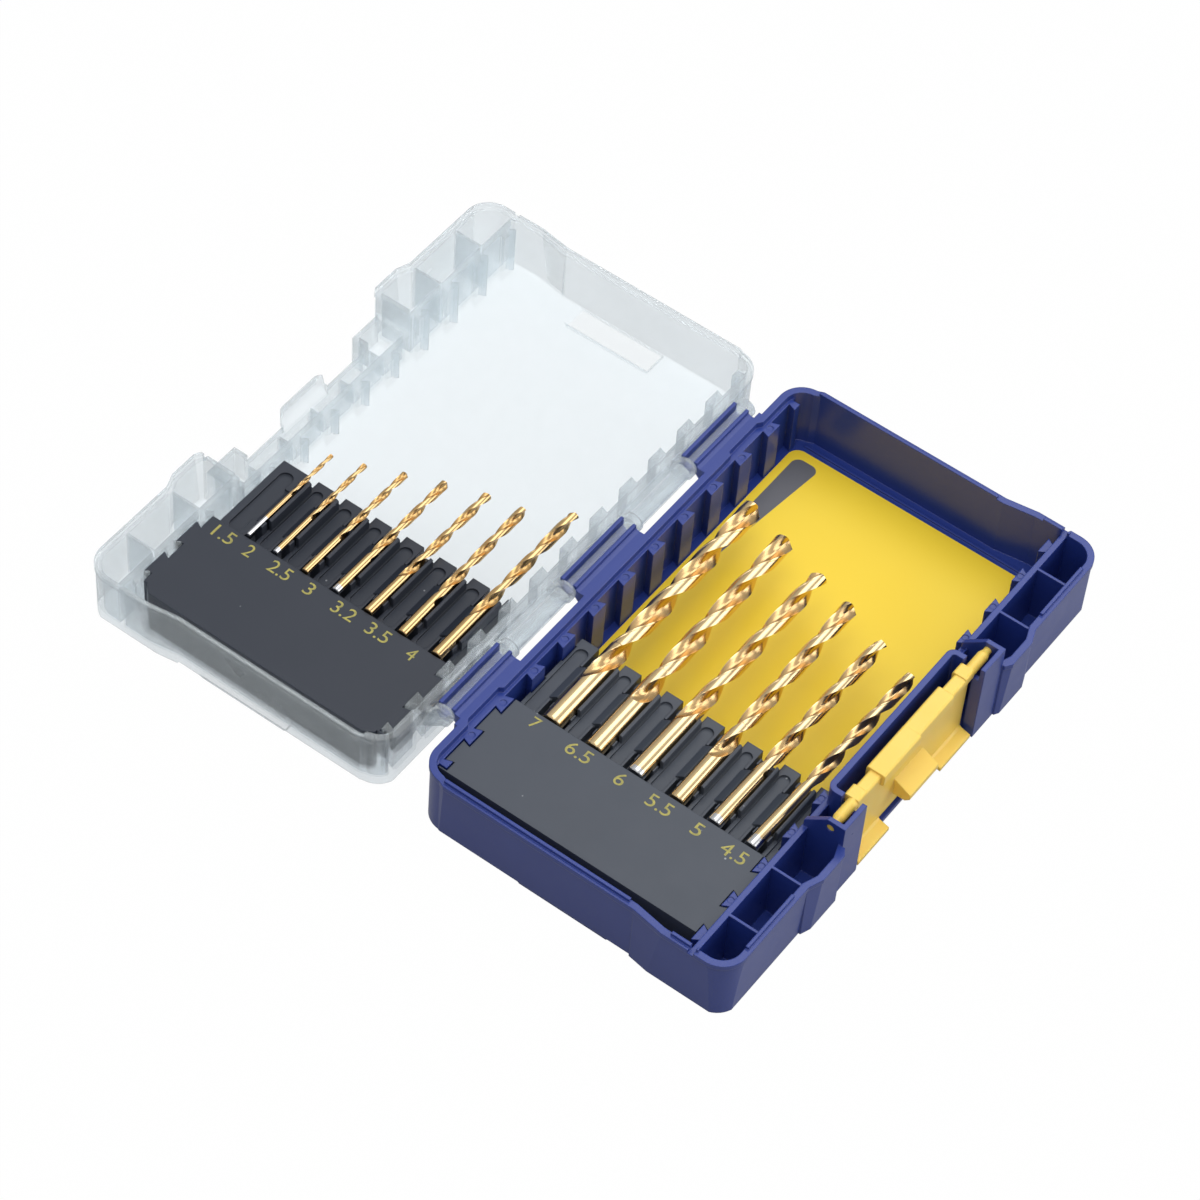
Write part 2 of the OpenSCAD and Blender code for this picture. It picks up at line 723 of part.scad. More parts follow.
// two flutes, two lands and the web between them
module flute_section(r) {
    web = r * 0.26;
    angle = [0, 30, 60, 84, 108, 136, 160];
    reach = [r, r, r, r * 0.6, web, web * 1.15, r * 0.62];
    polygon([for (side = [0, 180], k = [0 : 6])
        [reach[k] * cos(side + angle[k]), reach[k] * sin(side + angle[k])]]);
}

module drill(spec, drill_end) {
    d = spec[0];
    size = spec[1];
    fluted = spec[2];
    turns = fluted / spec[5];
    r = d / 2;
    point = r / tan(point_angle / 2);
    shank = size - fluted;
    color(drill_gold) on_feet() translate([-drill_end, spec[3], axis_z(d)]) rotate([0, 90, spec[4]]) {
        cylinder(r = r, h = shank);
        intersection() {
            translate([0, 0, shank]) linear_extrude(
                height = fluted, twist = -360 * turns, slices = ceil(turns * helix_slices), $fn = 8)
                flute_section(r * 0.985);
            cylinder(r1 = r * size / point, r2 = 0, h = size);
        }
    }
}

module drill_bit_7_0() {
    drill(base_drills[0], base_drill_end);
}

module drill_bit_6_5() {
    drill(base_drills[1], base_drill_end);
}

module drill_bit_6_0() {
    drill(base_drills[2], base_drill_end);
}

module drill_bit_5_5() {
    drill(base_drills[3], base_drill_end);
}

module drill_bit_5_0() {
    drill(base_drills[4], base_drill_end);
}

module drill_bit_4_5() {
    drill(base_drills[5], base_drill_end);
}

module drill_bit_4_0() {
    lid_drill(6);
}

module drill_bit_3_5() {
    lid_drill(5);
}

module drill_bit_3_2() {
    lid_drill(4);
}

module drill_bit_3_0() {
    lid_drill(3);
}

module drill_bit_2_5() {
    lid_drill(2);
}

module drill_bit_2_0() {
    lid_drill(1);
}

module drill_bit_1_5() {
    lid_drill(0);
}

// a lid drill lies beyond the hinge line, in the same sense as the base drills
module lid_drill(i) {
    translate([0, 2 * hinge_y, 0]) drill(lid_drills[i], lid_drill_end);
}

base_shell();
lid_shell();
latch();
base_bit_holder();
lid_bit_holder();
insert_card();
drill_bit_7_0();
drill_bit_6_5();
drill_bit_6_0();
drill_bit_5_5();
drill_bit_5_0();
drill_bit_4_5();
drill_bit_4_0();
drill_bit_3_5();
drill_bit_3_2();
drill_bit_3_0();
drill_bit_2_5();
drill_bit_2_0();
drill_bit_1_5();
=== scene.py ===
import math

import bmesh
import bpy
from mathutils import Matrix, Vector


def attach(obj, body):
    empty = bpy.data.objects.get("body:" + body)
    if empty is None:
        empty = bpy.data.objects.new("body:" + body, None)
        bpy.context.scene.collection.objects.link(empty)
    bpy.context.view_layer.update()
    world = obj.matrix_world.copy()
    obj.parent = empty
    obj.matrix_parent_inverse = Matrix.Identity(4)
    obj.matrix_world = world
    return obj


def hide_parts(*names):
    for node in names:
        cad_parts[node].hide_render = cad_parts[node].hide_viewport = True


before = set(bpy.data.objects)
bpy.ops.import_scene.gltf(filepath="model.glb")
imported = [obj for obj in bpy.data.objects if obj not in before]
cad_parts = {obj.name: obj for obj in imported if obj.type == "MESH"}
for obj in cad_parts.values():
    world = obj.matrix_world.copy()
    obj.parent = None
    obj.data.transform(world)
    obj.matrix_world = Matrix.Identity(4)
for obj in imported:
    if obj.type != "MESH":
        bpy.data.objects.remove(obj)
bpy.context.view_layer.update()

print("frame loaded:", len(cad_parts), "nodes")


class Wire:
    # a socket that adds Math nodes where it stands in an expression
    def __init__(self, tree, socket):
        self.tree = tree
        self.socket = socket

    def maths(self, operation, *values):
        return self.tree.add("ShaderNodeMath", {"operation": operation}, dict(enumerate(values)))[0]

    def __add__(self, other):
        return self.maths("ADD", self, other)

    __radd__ = __add__

    def __sub__(self, other):
        return self.maths("SUBTRACT", self, other)

    def __rsub__(self, other):
        return self.maths("SUBTRACT", other, self)

    def __mul__(self, other):
        return self.maths("MULTIPLY", self, other)

    __rmul__ = __mul__

    def __truediv__(self, other):
        return self.maths("DIVIDE", self, other)

    def __rtruediv__(self, other):
        return self.maths("DIVIDE", other, self)

    def least(self, other):
        return self.maths("MINIMUM", self, other)

    def most(self, other):
        return self.maths("MAXIMUM", self, other)

    def above(self, other):
        return self.maths("GREATER_THAN", self, other)

    def clipped(self):
        return self.most(0).least(1)

    def ramp(self, low, high, start=0, end=1):
        # the value carried from low..high to start..end, held at both ends
        return self.tree.add("ShaderNodeMapRange", {"clamp": True}, {
            "Value": self, "From Min": low, "From Max": high, "To Min": start, "To Max": end})["Result"]


class Made:
    # a node just added; its outputs are read by name or number
    def __init__(self, tree, node):
        self.tree = tree
        self.node = node

    def __getitem__(self, key):
        return Wire(self.tree, socketOf(self.node.outputs, key))


def socketOf(sockets, key):
    if isinstance(key, int):
        return sockets[key]
    for s in sockets:
        if s.enabled and key in (s.name, s.identifier):
            return s
    raise KeyError(key)


class Tree:
    def __init__(self, nodeTree):
        self.nodes = nodeTree.nodes
        self.links = nodeTree.links

    def add(self, kind, settings=None, inputs=None):
        node = self.nodes.new(kind)
        for name, value in (settings or {}).items():
            setattr(node, name, value)
        for key, value in (inputs or {}).items():
            self.plug(node, key, value)
        return Made(self, node)

    def plug(self, node, key, value):
        socket = socketOf(node.inputs, key)
        if isinstance(value, Made):
            value = value[0]
        if isinstance(value, Wire):
            self.links.new(value.socket, socket)
        else:
            socket.default_value = value

    def blend(self, factor, a, b):
        # two colours through one Mix node
        return self.add("ShaderNodeMix", {"data_type": "RGBA"}, {"Factor": factor, "A": a, "B": b})["Result"]


def rgb(red, green, blue):
    # a colour as it shows on a screen, 0 to 255, as Blender's linear values
    def linear(c):
        c = c / 255
        return c / 12.92 if c <= 0.04045 else ((c + 0.055) / 1.055) ** 2.4
    return (linear(red), linear(green), linear(blue), 1)


def newMaterial(name):
    material = bpy.data.materials.new(name)
    material.use_nodes = True
    material.node_tree.nodes.clear()
    return material, Tree(material.node_tree)


def output(tree, surface):
    tree.add("ShaderNodeOutputMaterial", None, {"Surface": surface})


def noise(tree, scale, detail=3, rough=0.5, vector=None):
    if vector is None:
        vector = tree.add("ShaderNodeTexCoord")["Object"]
    return tree.add("ShaderNodeTexNoise", None,
                    {"Vector": vector, "Scale": scale, "Detail": detail, "Roughness": rough})["Fac"]


def bumped(tree, height, strength, distance):
    return tree.add("ShaderNodeBump", None,
                    {"Strength": strength, "Distance": distance, "Height": height})["Normal"]


def roundedNormal(tree, radius, height=None, strength=0.1, distance=0.0002):
    # edges as the mould leaves them, with an optional surface grain
    edge = tree.add("ShaderNodeBevel", {"samples": 6}, {"Radius": radius})["Normal"]
    if height is None:
        return edge
    return tree.add("ShaderNodeBump", None,
                    {"Strength": strength, "Distance": distance, "Height": height, "Normal": edge})["Normal"]


bluePlastic = {
    "colour": rgb(44, 66, 148),
    "deep": rgb(39, 58, 134),
    "edge": 0.0005,          # radius of the moulded edges, m
    "roughness": 0.3,
    "smearDepth": 0.12,      # how much the roughness changes over the surface
    "cloudScale": 35,
    "smearScale": 120,
    "grainScale": 2200,
}


def makeBlue():
    material, tree = newMaterial("bluePlastic")
    cloud = noise(tree, bluePlastic["cloudScale"], 2)
    grain = noise(tree, bluePlastic["grainScale"], 2)
    smear = noise(tree, bluePlastic["smearScale"], 4, 0.6)
    surface = tree.add("ShaderNodeBsdfPrincipled", None, {
        "Base Color": tree.blend(cloud, bluePlastic["colour"], bluePlastic["deep"]),
        "Roughness": bluePlastic["roughness"] + (smear - 0.5) * bluePlastic["smearDepth"],
        "Specular IOR Level": 0.55,
        "Normal": roundedNormal(tree, bluePlastic["edge"], grain, 0.05, 0.00005),
    })
    output(tree, surface)
    return material


clearPlastic = {
    "tint": rgb(243, 246, 248),
    "straight": rgb(243, 246, 248),
    "haze": rgb(232, 238, 240),
    "shadow": rgb(244, 247, 248),
    "roughness": 0.12,
    "edge": 0.0005,
    "ior": 1.2,
    "cloudScale": 60,
    "straightShare": 0.56,   # of the light that goes through unbent
    "milk": 0.12,            # least share of haze, and how much the clouds add
    "milkClouds": 0.08,
}


def makeClear():
    # a milky clear plastic: partly bent light, partly straight through, and a little haze of its own
    material, tree = newMaterial("clearPlastic")
    cloud = noise(tree, clearPlastic["cloudScale"], 3)
    normal = roundedNormal(tree, clearPlastic["edge"])
    bent = tree.add("ShaderNodeBsdfPrincipled", None, {
        "Base Color": clearPlastic["tint"],
        "Roughness": clearPlastic["roughness"] + cloud * 0.08,
        "IOR": clearPlastic["ior"],
        "Specular IOR Level": 0.6,
        "Transmission Weight": 1,
        "Normal": normal,
    })
    haze = tree.add("ShaderNodeBsdfDiffuse", None, {"Color": clearPlastic["haze"], "Normal": normal})
    straight = tree.add("ShaderNodeBsdfTransparent", None, {"Color": clearPlastic["straight"]})
    lampsThrough = tree.add("ShaderNodeBsdfTransparent", None, {"Color": clearPlastic["shadow"]})
    body = tree.add("ShaderNodeMixShader", None, {0: clearPlastic["straightShare"], 1: bent, 2: straight})
    milk = cloud * clearPlastic["milkClouds"] + clearPlastic["milk"]
    milky = tree.add("ShaderNodeMixShader", None, {0: milk, 1: body, 2: haze})
    path = tree.add("ShaderNodeLightPath")
    output(tree, tree.add("ShaderNodeMixShader", None, {0: path["Is Shadow Ray"], 1: milky, 2: lampsThrough}))
    return material


latchPlastic = {
    "colour": rgb(255, 220, 108),
    "warm": rgb(255, 212, 92),
    "edge": 0.0006,
    "roughness": 0.34,
    "glow": 0.15,            # share of light that spreads inside the plastic
    "spread": (0.004, 0.002, 0.0006),
}


def makeLatchYellow():
    material, tree = newMaterial("latchPlastic")
    cloud = noise(tree, 90, 2)
    grain = noise(tree, 1800, 2)
    surface = tree.add("ShaderNodeBsdfPrincipled", None, {
        "Base Color": tree.blend(cloud, latchPlastic["colour"], latchPlastic["warm"]),
        "Roughness": latchPlastic["roughness"] + (noise(tree, 160, 3) - 0.5) * 0.12,
        "Subsurface Weight": latchPlastic["glow"],
        "Subsurface Radius": latchPlastic["spread"],
        "Subsurface Scale": 0.5,
        "Normal": roundedNormal(tree, latchPlastic["edge"], grain, 0.05, 0.00005),
    })
    output(tree, surface)
    return material


holderPlastic = {
    "base": (rgb(73, 79, 90), rgb(67, 73, 83)),
    # the lid's grey is a darker copy of the base holder's grey: painted shade
    "lid": (rgb(50, 55, 66), rgb(44, 50, 61)),
    "dust": rgb(190, 195, 200),
    "edge": 0.0004,
    "roughness": 0.42,
    "speckScale": 260,
    "speckFrom": 0.88,       # cells drawn over this hold a speck
    "speckShow": 0.7,
}


def makeHolder(which, name="HolderPlastic", edge=holderPlastic["edge"]):
    material, tree = newMaterial(which + name)
    light, dark = holderPlastic[which]
    place = tree.add("ShaderNodeTexCoord")["Object"]
    cloud = noise(tree, 45, 3)
    grain = noise(tree, 3000, 2)
    # single light specks: few of the small cells hold one
    cells = tree.add("ShaderNodeTexVoronoi", {"feature": "F1"}, {
        "Vector": place, "Scale": holderPlastic["speckScale"], "Randomness": 1})
    drawn = tree.add("ShaderNodeSeparateColor", None, {"Color": cells["Color"]})["Red"]
    speck = drawn.above(holderPlastic["speckFrom"]) * cells["Distance"].ramp(0.05, 0.11, 1, 0)
    surface = tree.add("ShaderNodeBsdfPrincipled", None, {
        "Base Color": tree.blend(speck * holderPlastic["speckShow"], tree.blend(cloud, light, dark),
                                 holderPlastic["dust"]),
        "Roughness": holderPlastic["roughness"] + (noise(tree, 150, 4, 0.6) - 0.5) * 0.15,
        "Specular IOR Level": 0.45,
        "Normal": roundedNormal(tree, edge, grain, 0.08, 0.00005),
    })
    output(tree, surface)
    return material


cardPaper = {
    "colour": rgb(254, 221, 58),
    "deep": rgb(252, 214, 42),
    "strip": rgb(98, 99, 105),
    # the grey printed strip along the hinge side, m; it narrows away from its end
    "stripEnd": 0.0875,
    "stripNear": 0.0383,
    "stripFar": 0.0475,
    "taper": 0.11,
    "corner": 0.003,
}


def makeCard():
    material, tree = newMaterial("cardPaper")
    fibre = noise(tree, 900, 5, 0.7)
    cloud = noise(tree, 25, 3)
    place = tree.add("ShaderNodeSeparateXYZ", None, {0: tree.add("ShaderNodeTexCoord")["Object"]})
    # how far a point lies outside the strip, whose end is rounded
    corner = cardPaper["corner"]
    beyond = (place["X"] - (cardPaper["stripEnd"] - corner)).most(0)
    near = (cardPaper["stripEnd"] - place["X"]) * cardPaper["taper"] + cardPaper["stripNear"]
    aside = (place["Y"] - (cardPaper["stripFar"] - corner)).most(near + corner - place["Y"]).most(0)
    square = beyond * beyond + aside * aside
    outside = square.maths("SQRT", square) - corner
    printed = outside.ramp(-0.0001, 0.0001, 1, 0)
    yellow = tree.blend(cloud, cardPaper["colour"], cardPaper["deep"])
    surface = tree.add("ShaderNodeBsdfPrincipled", None, {
        "Base Color": tree.blend(printed, yellow, cardPaper["strip"]),
        "Roughness": 0.45 + (fibre - 0.5) * 0.1,
        "Normal": bumped(tree, fibre, 0.06, 0.00005),
    })
    output(tree, surface)
    return material


drillFinish = {
    "land": rgb(232, 205, 158),
    # the flute colour is darker and warmer than the land: painted shade and painted reflection of the yellow
    # card in the grooves
    "flute": rgb(212, 176, 122),
    # darker copies of the coating for the small drills in the lid: painted shade
    "thinLand": rgb(217, 184, 132),
    "thinFlute": rgb(198, 160, 104),
    "bare": rgb(214, 215, 218),
    "roughness": 0.15,
    "bareRagged": 0.0012,    # how far the coating's end wanders on the shank, m
    "bareFade": 0.0005,
}


def makeDrillMetal(name, bareEnd, thin):
    material, tree = newMaterial(name)
    # the small drills take the darker copies, which are painted shade
    land, groove = (drillFinish[k] for k in (("thinLand", "thinFlute") if thin else ("land", "flute")))
    flute = tree.add("ShaderNodeAttribute", {"attribute_name": "flute"})["Fac"]
    along = tree.add("ShaderNodeAttribute", {"attribute_name": "along"})["Fac"]
    around = tree.add("ShaderNodeAttribute", {"attribute_name": "around"})["Fac"]
    # grinding lines run round the shank and along the flutes
    lineOnShank, lineInFlute = (
        tree.add("ShaderNodeTexNoise", {"noise_dimensions": "1D"},
                 {"W": way, "Scale": scale, "Detail": detail})["Fac"]
        for way, scale, detail in ((along, 7000, 2), (around, 45, 3)))
    inFlute = flute.ramp(0.05, 0.15)
    height = lineOnShank + (lineInFlute - lineOnShank) * inFlute
    stain = noise(tree, 260, 4, 0.6)
    # the flutes take the darker, warmer colour (painted shade and reflection), mixed with random stains
    coatAndFluteShade = tree.blend(inFlute * 0.75 + stain * 0.25, land, groove)
    colour = coatAndFluteShade
    if bareEnd:
        edge = along + (noise(tree, 500, 2) - 0.5) * drillFinish["bareRagged"]
        covered = edge.ramp(bareEnd, bareEnd + drillFinish["bareFade"])
        colour = tree.blend(covered, drillFinish["bare"], coatAndFluteShade)
    surface = tree.add("ShaderNodeBsdfPrincipled", None, {
        "Base Color": colour,
        "Metallic": 1.0,
        "Roughness": drillFinish["roughness"] + inFlute * 0.08 + (stain - 0.5) * 0.1,
        "Normal": bumped(tree, height, 0.1, 0.00003),
    })
    output(tree, surface)
    return material


materials = {
    "base_shell": makeBlue(),
    "lid_shell": makeClear(),
    "latch": makeLatchYellow(),
    "base_bit_holder": makeHolder("base"),
    "lid_bit_holder": makeHolder("lid"),
    "insert_card": makeCard(),
}
for nodeName, material in materials.items():
    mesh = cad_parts[nodeName].data
    mesh.materials.clear()
    mesh.materials.append(material)
print("materials made")


# size: width, length, fluted length, y of the shank end, lean, length of a turn, start of the clearance,
# bare end, turn of the flutes; mm and degrees
drills = {
    "7_0": (7, 108, 90.4, 38.3, 0.5, 47, 35, 0, 79.5),
    "6_5": (6.5, 103, 82.3, 22.6, 0.7, 48.5, 35.5, 0, -40.3),
    "6_0": (6, 97.8, 74.6, 7.5, 0, 46.6, 36.6, 1.6, 89.5),
    "5_5": (5.5, 93.7, 75.3, -7.7, 0.6, 43, 34, 0, -53.2),
    "5_0": (5, 87.6, 65.4, -21.1, -0.6, 38, 33, 2.2, 25),
    "4_5": (4.5, 82.5, 56.5, -34.4, -1.4, 35.6, 34, 3.4, 41.2),
    "4_0": (4, 71.1, 54.6, 79.6, 0.4, 33.6, 24, 0, 70),
    "3_5": (3.5, 62.4, 48, 92.6, 0.7, 29, 23, 0, 20),
    "3_2": (3.2, 60, 44, 105.6, -0.2, 27, 23, 0, 100),
    "3_0": (3, 55.4, 40, 118.2, 0.2, 26, 22.5, 1.9, 40),
    "2_5": (2.5, 50.2, 34, 130, 0.2, 21.6, 22, 0, 0),
    "2_0": (2, 44.9, 28, 141.5, 0.6, 19, 21.5, 1.6, 0),
    "1_5": (1.5, 41.2, 20.9, 152.1, 0.2, 14, 23, 8.5, 0),
}
drillForm = {
    "baseEnd": -56.5,        # x of the shank ends in the base, mm
    "lidEnd": -58.8,
    "pointAngle": 118,
    "around": 120,           # points round the drill, two times the section below
    "weld": 0.000003,        # points nearer than this become one, m
    "shankRows": 6,
    "runOutRows": 44,
    "fluteRows": 150,
    "pointRows": 12,
    "footHeight": 1.2,
    "seatHeight": 21.8,      # of a drill's axis over the floor, less a share of its width
    "seatShare": 0.53,
    "runOut": 3,             # how long the groove rises out of the shank, in radii
    "clearance": 0.035,      # how far the land behind the margin is ground down, in radii
    # depth of the groove over half a turn, in radii, from the margin on
    "groove": ((0, 0), (0.375, 0), (0.3917, 0.09), (0.4333, 0.3), (0.4833, 0.5), (0.55, 0.65), (0.65, 0.735),
               (0.7667, 0.74), (0.8667, 0.66), (0.9333, 0.5), (0.9667, 0.34), (0.9833, 0.2), (1, 0)),
    # where the land is ground down
    "relief": ((0, 0), (0.05, 0), (0.0667, 1), (1, 1)),
}


def curveOf(tree, value, points, handle):
    curve = tree.add("ShaderNodeFloatCurve", None, {"Value": value})
    made = curve.node.mapping.curves[0].points
    while len(made) < len(points):
        made.new(0.5, 0.5)
    for point, place in zip(made, points):
        point.location = place
        point.handle_type = handle
    curve.node.mapping.update()
    return curve["Value"]


def drillTree():
    group = bpy.data.node_groups.new("twistDrill", "GeometryNodeTree")
    face = group.interface
    for name in ("Radius", "Length", "Fluted", "Lead", "Clearance From", "Turn"):
        face.new_socket(name, in_out="INPUT", socket_type="NodeSocketFloat")
    face.new_socket("Material", in_out="INPUT", socket_type="NodeSocketMaterial")
    face.new_socket("Geometry", in_out="OUTPUT", socket_type="NodeSocketGeometry")
    tree = Tree(group)
    given = tree.add("NodeGroupInput")
    radius, length, fluted = given["Radius"], given["Length"], given["Fluted"]
    form = drillForm
    rows = 4 + form["shankRows"] + form["runOutRows"] + form["fluteRows"] + form["pointRows"]
    grid = tree.add("GeometryNodeMeshGrid", None, {
        "Size X": rows - 1, "Size Y": 1, "Vertices X": rows, "Vertices Y": form["around"] + 1})["Mesh"]
    place = tree.add("ShaderNodeSeparateXYZ", None, {0: tree.add("GeometryNodeInputPosition")["Position"]})
    row = place["X"] + (rows - 1) / 2
    wayRound = place["Y"] + 0.5
    slope = math.tan(math.radians(form["pointAngle"] / 2))
    shank = length - fluted
    pointLength = radius / slope
    runOut = radius * form["runOut"]
    first, second = 3, 3 + form["shankRows"]
    third = second + form["runOutRows"]
    fourth = third + form["fluteRows"]
    x = row.ramp(1, first, 0, 1) * radius * 0.15
    x = x + row.ramp(first, second, 0, 1) * (shank - radius * 0.15)
    x = x + row.ramp(second, third, 0, 1) * runOut
    x = x + row.ramp(third, fourth, 0, 1) * (fluted - pointLength - runOut)
    x = x + row.ramp(fourth, rows - 1, 0, 1) * pointLength
    inFlutes = x - shank
    # the grid turns with the helix, so each edge of the section stays on one row of points
    half = wayRound * 2      # whole numbers where the section starts again
    part = half.maths("FRACT", half + 0.0001)
    angle = half * math.pi + inFlutes.most(0) / given["Lead"] * (2 * math.pi) + given["Turn"]
    left = 1 - (inFlutes / runOut).clipped()
    groove = curveOf(tree, part, form["groove"], "AUTO_CLAMPED") - left * left * 0.75
    groove = groove.most(0) * inFlutes.above(0)
    relief = curveOf(tree, part, form["relief"], "VECTOR") * (x - given["Clearance From"]).ramp(0, 0.0004)
    relief = relief * form["clearance"]
    depth = groove.most(relief)
    reach = (1 - depth) * radius
    reach = reach.least((length - x) * slope).least(radius * 0.88 + x) * row.ramp(0, 1, 0, 1)
    # the shader reads these three; they are worked out on the flat grid, so they are stored before it moves
    shape = grid
    for name, value in (("flute", groove), ("along", x), ("around", half)):
        shape = tree.add("GeometryNodeStoreNamedAttribute", {"data_type": "FLOAT", "domain": "POINT"},
                         {"Geometry": shape, "Name": name, "Value": value})["Geometry"]
    wound = tree.add("ShaderNodeCombineXYZ", None, {
        0: x, 1: reach * angle.maths("COSINE", angle), 2: reach * angle.maths("SINE", angle)})["Vector"]
    moved = tree.add("GeometryNodeSetPosition", None, {"Geometry": shape, "Position": wound})["Geometry"]
    welded = tree.add("GeometryNodeMergeByDistance", None,
                      {"Geometry": moved, "Distance": form["weld"]})["Geometry"]
    turned = tree.add("GeometryNodeFlipFaces", None, {"Mesh": welded})["Mesh"]
    crease = tree.add("GeometryNodeInputMeshEdgeAngle")["Unsigned Angle"]
    smooth = tree.add("GeometryNodeSetShadeSmooth", {"domain": "EDGE"}, {
        "Geometry": turned, "Selection": crease.above(math.radians(24)), "Shade Smooth": False})["Geometry"]
    real = tree.add("GeometryNodeRealizeInstances", None, {"Geometry": smooth})["Geometry"]
    finished = tree.add("GeometryNodeSetMaterial", None,
                        {"Geometry": real, "Material": given["Material"]})["Geometry"]
    tree.add("NodeGroupOutput", None, {"Geometry": finished})
    return group


def linked(name, data):
    made = bpy.data.objects.new(name, data)
    bpy.context.scene.collection.objects.link(made)
    return made


def meshOf(carrier):
    bpy.context.view_layer.update()
    graph = bpy.context.evaluated_depsgraph_get()
    return bpy.data.meshes.new_from_object(carrier.evaluated_get(graph), depsgraph=graph)


def plainMesh(name, group, values, place):
    # runs a node group on an empty mesh and keeps the result as an ordinary mesh
    carrier = linked(name + "Carrier", bpy.data.meshes.new(name + "Carrier"))
    modifier = carrier.modifiers.new("form", "NODES")
    modifier.node_group = group
    for item in group.interface.items_tree:
        if item.item_type == "SOCKET" and item.in_out == "INPUT" and item.name in values:
            modifier[item.identifier] = values[item.name]
    mesh = meshOf(carrier)
    carrier.modifiers.remove(modifier)
    bpy.data.objects.remove(carrier)
    mesh.transform(place)
    return linked(name, mesh)


def makeDrills():
    group = drillTree()
    for size, (wide, long, fluted, y, lean, lead, clearance, bareEnd, turn) in drills.items():
        metal = makeDrillMetal("drillMetal" + size, bareEnd / 1000, wide <= 4)
        end = drillForm["baseEnd"] if wide > 4 else drillForm["lidEnd"]
        axisHeight = drillForm["seatHeight"] - drillForm["seatShare"] * wide + drillForm["footHeight"]
        place = (Matrix.Translation(Vector((end, y, axisHeight)) / 1000)
                 @ Matrix.Rotation(math.radians(lean), 4, "Z"))
        piece = plainMesh("twistDrill" + size, group, {
            "Radius": wide / 2000, "Length": long / 1000, "Fluted": fluted / 1000, "Lead": lead / 1000,
            "Clearance From": clearance / 1000, "Turn": math.radians(turn), "Material": metal}, place)
        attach(piece, "drill_" + size)
        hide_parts("drill_bit_" + size)
        print("drill", size, len(piece.data.polygons), "faces")


makeDrills()


plateEdge = {
    # plan of the strip in front of the lid's label plate, mm
    "plan": ((-91.2, 76.1), (-91.2, 164.2), (-92.3, 164.2), (-94.7, 161.6), (-94.7, 79.6), (-92.7, 76.1)),
    "low": 4.2,
    "high": 21.42,           # just over the plate, whose edge it covers
    "round": 0.3,
    "roundedBefore": -92.2,  # edges nearer the case's end than this are rounded
}


def makePlateEdge():
    mesh = bmesh.new()
    low = [mesh.verts.new((x / 1000, y / 1000, plateEdge["low"] / 1000)) for x, y in plateEdge["plan"]]
    face = mesh.faces.new(low)
    lifted = bmesh.ops.extrude_face_region(mesh, geom=[face])["geom"]
    bmesh.ops.translate(mesh, verts=[v for v in lifted if isinstance(v, bmesh.types.BMVert)],
                        vec=(0, 0, (plateEdge["high"] - plateEdge["low"]) / 1000))
    edges = [e for e in mesh.edges if min(v.co.x for v in e.verts) < plateEdge["roundedBefore"] / 1000]
    bmesh.ops.bevel(mesh, geom=edges, offset=plateEdge["round"] / 1000, segments=3, profile=0.5,
                    affect="EDGES")
    bmesh.ops.recalc_face_normals(mesh, faces=mesh.faces)
    data = bpy.data.meshes.new("lidPlateEdge")
    mesh.to_mesh(data)
    mesh.free()
    data.materials.append(makeHolder("lid", "EdgePlastic", 0))
    piece = linked("lidPlateEdge", data)
    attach(piece, "lid")


makePlateEdge()
print("plate edge made")

numberPrint = {
    "colour": rgb(186, 176, 88),
    "worn": rgb(142, 138, 80),
    "height": 4.75,          # of a figure, mm
    "lift": 0.04,
    "sevenShare": 0.86,      # the 7 is printed a little shorter
    # text: x and y of its middle, its width and its height over the ground, mm
    "figures": {
        "7": (-61.3, 40.5, 3.0, 23.0), "6.5": (-61.85, 23.9, 8.5, 23.0), "6": (-62, 8.7, 3.2, 23.0),
        "5.5": (-62.3, -5.8, 8.4, 23.0), "5": (-62.4, -19.55, 3.2, 23.0), "4.5": (-62.6, -32.8, 8.5, 23.0),
        "4": (-63.1, 85.5, 2.9, 21.4), "3.5": (-63, 98.25, 8.1, 21.4), "3.2": (-63, 111.3, 8.0, 21.4),
        "3": (-62.9, 124.8, 2.9, 21.4), "2.5": (-62.9, 136.2, 7.8, 21.4), "2": (-62.9, 148.3, 2.8, 21.4),
        "1.5": (-62.9, 158.2, 7.4, 21.4),
    },
}


def makeInk():
    material, tree = newMaterial("numberInk")
    patch = noise(tree, 900, 3, 0.6)
    surface = tree.add("ShaderNodeBsdfPrincipled", None, {
        "Base Color": tree.blend(patch.ramp(0.35, 0.7), numberPrint["colour"], numberPrint["worn"]),
        "Roughness": 0.35 + patch * 0.2,
        "Normal": bumped(tree, patch, 0.1, 0.00003),
    })
    output(tree, surface)
    return material


def makeNumbers():
    ink = makeInk()
    for text, (x, y, wide, top) in numberPrint["figures"].items():
        curve = bpy.data.curves.new("figure", "FONT")
        curve.body = text
        carrier = linked("figure", curve)
        mesh = meshOf(carrier)
        bpy.data.objects.remove(carrier)
        low = [min(v.co[i] for v in mesh.vertices) for i in (0, 1)]
        high = [max(v.co[i] for v in mesh.vertices) for i in (0, 1)]
        tall = numberPrint["height"] * (numberPrint["sevenShare"] if text == "7" else 1)
        for v in mesh.vertices:
            across = ((v.co.x - low[0]) / (high[0] - low[0]) - 0.5) * wide
            up = ((v.co.y - low[1]) / (high[1] - low[1]) - 0.5) * tall
            v.co = Vector((x + up, y - across, top + numberPrint["lift"])) / 1000
        mesh.materials.append(ink)
        figure = linked("number" + text.replace(".", "_"), mesh)
        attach(figure, "base" if top > 22 else "lid")
    print("numbers printed")


makeNumbers()


camera = {
    "place": (-0.685469, -0.375337, 1.027651),
    "right": (0.59401512, -0.8025044, 0.0559708),
    "down": (-0.60959222, -0.49443673, -0.61962056),
    "forward": (0.52492225, 0.33394462, -0.78290333),
    "lens": 127.1016,       # for a 36 mm wide picture
}


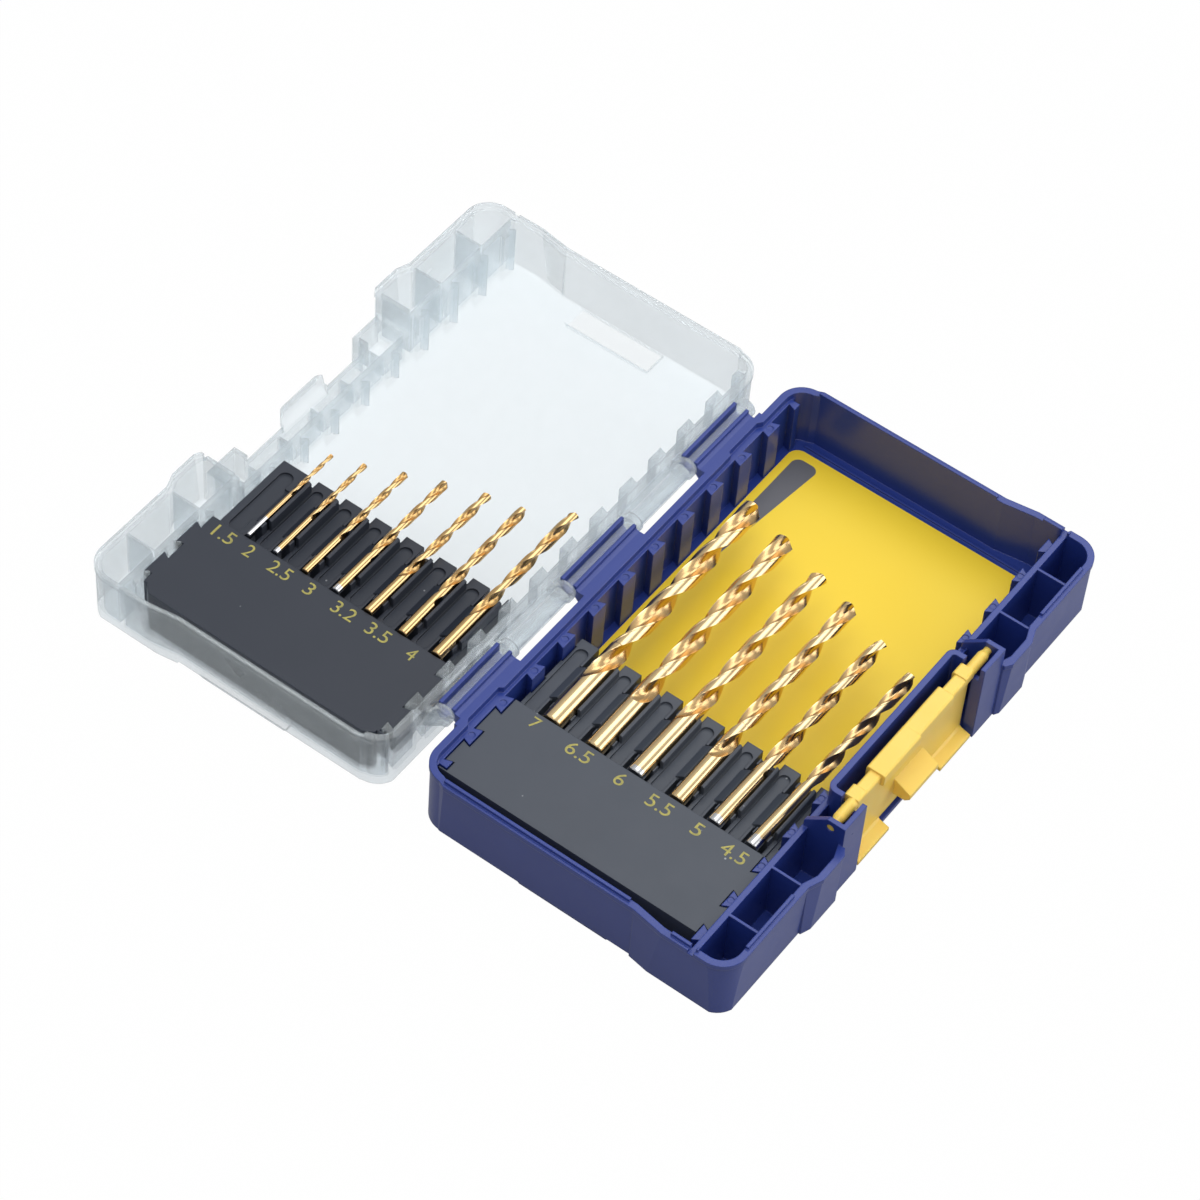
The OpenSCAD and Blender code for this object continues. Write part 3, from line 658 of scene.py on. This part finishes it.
def makeCamera():
    data = bpy.data.cameras.new("camera")
    data.sensor_width = 36
    data.sensor_fit = "HORIZONTAL"
    data.lens = camera["lens"]
    data.clip_start = 0.05
    data.clip_end = 20
    eye = linked("camera", data)
    right, down, forward = (Vector(camera[k]) for k in ("right", "down", "forward"))
    turn = Matrix((right, -down, -forward)).transposed()
    eye.matrix_world = Matrix.Translation(camera["place"]) @ turn.to_4x4()
    bpy.context.scene.camera = eye


lamps = {
    # name: place, size across and up, watts
    "endSoftbox": ((0.63, 0.06, 1.02), (0.72, 0.8), 3),
    "frontSoftbox": ((0.63, -0.94, 0.41), (1.1, 0.62), 4.4),
    "topSoftbox": ((-0.3, -0.2, 1.5), (1, 1), 6.2),
}


studio = {
    "paper": (0.35, 0.35, 0.35, 1),
    "overhead": 0.75,
    "horizon": 0.22,
    "glossShare": 0.25,      # how much of the white backdrop the gloss shows
    "floorWhite": 0.995,     # the rest of the floor takes the object's shadow
    "floorReach": 4,
}


def seesBackdrop(tree):
    path = tree.add("ShaderNodeLightPath")
    gloss = path["Is Glossy Ray"] * studio["glossShare"]
    return path["Is Camera Ray"].most(path["Is Transmission Ray"]).most(gloss)


def makeStudio():
    middle = Vector((0, 0.06, 0.01))
    for name, (place, size, power) in lamps.items():
        data = bpy.data.lights.new(name, "AREA")
        data.shape = "RECTANGLE"
        data.size, data.size_y = size
        data.energy = power
        lamp = linked(name, data)
        lamp.location = place
        lamp.rotation_euler = (middle - Vector(place)).to_track_quat("-Z", "Y").to_euler()
    # a floor that shows white to the camera and keeps a faint shadow
    material, tree = newMaterial("studioFloor")
    seen = seesBackdrop(tree)
    paper = tree.add("ShaderNodeBsdfDiffuse", None, {"Color": studio["paper"]})
    white = tree.add("ShaderNodeEmission", None, {"Color": (1, 1, 1, 1), "Strength": 1})
    output(tree, tree.add("ShaderNodeMixShader", None, {0: seen * studio["floorWhite"], 1: paper, 2: white}))
    mesh = bpy.data.meshes.new("floor")
    reach = studio["floorReach"]
    corners = [(-reach, -reach, 0), (reach, -reach, 0), (reach, reach, 0), (-reach, reach, 0)]
    mesh.from_pydata(corners, [], [(0, 1, 2, 3)])
    mesh.materials.append(material)
    floor = linked("floor", mesh)
    world = bpy.data.worlds.new("studio")
    bpy.context.scene.world = world
    world.use_nodes = True
    world.node_tree.nodes.clear()
    tree = Tree(world.node_tree)
    seen = seesBackdrop(tree)
    # brighter overhead than at the horizon, as under a light tent
    way = tree.add("ShaderNodeSeparateXYZ", None, {0: tree.add("ShaderNodeTexCoord")["Generated"]})
    height = way["Z"].most(0)
    light = tree.add("ShaderNodeBackground", None, {
        "Color": (1, 1, 1, 1), "Strength": height * height * studio["overhead"] + studio["horizon"]})
    plain = tree.add("ShaderNodeBackground", None, {"Color": (1, 1, 1, 1), "Strength": 1})
    tree.add("ShaderNodeOutputWorld", None,
             {"Surface": tree.add("ShaderNodeMixShader", None, {0: seen, 1: light, 2: plain})})


makeCamera()
makeStudio()
bpy.context.scene.view_settings.view_transform = "Standard"
print("studio ready")
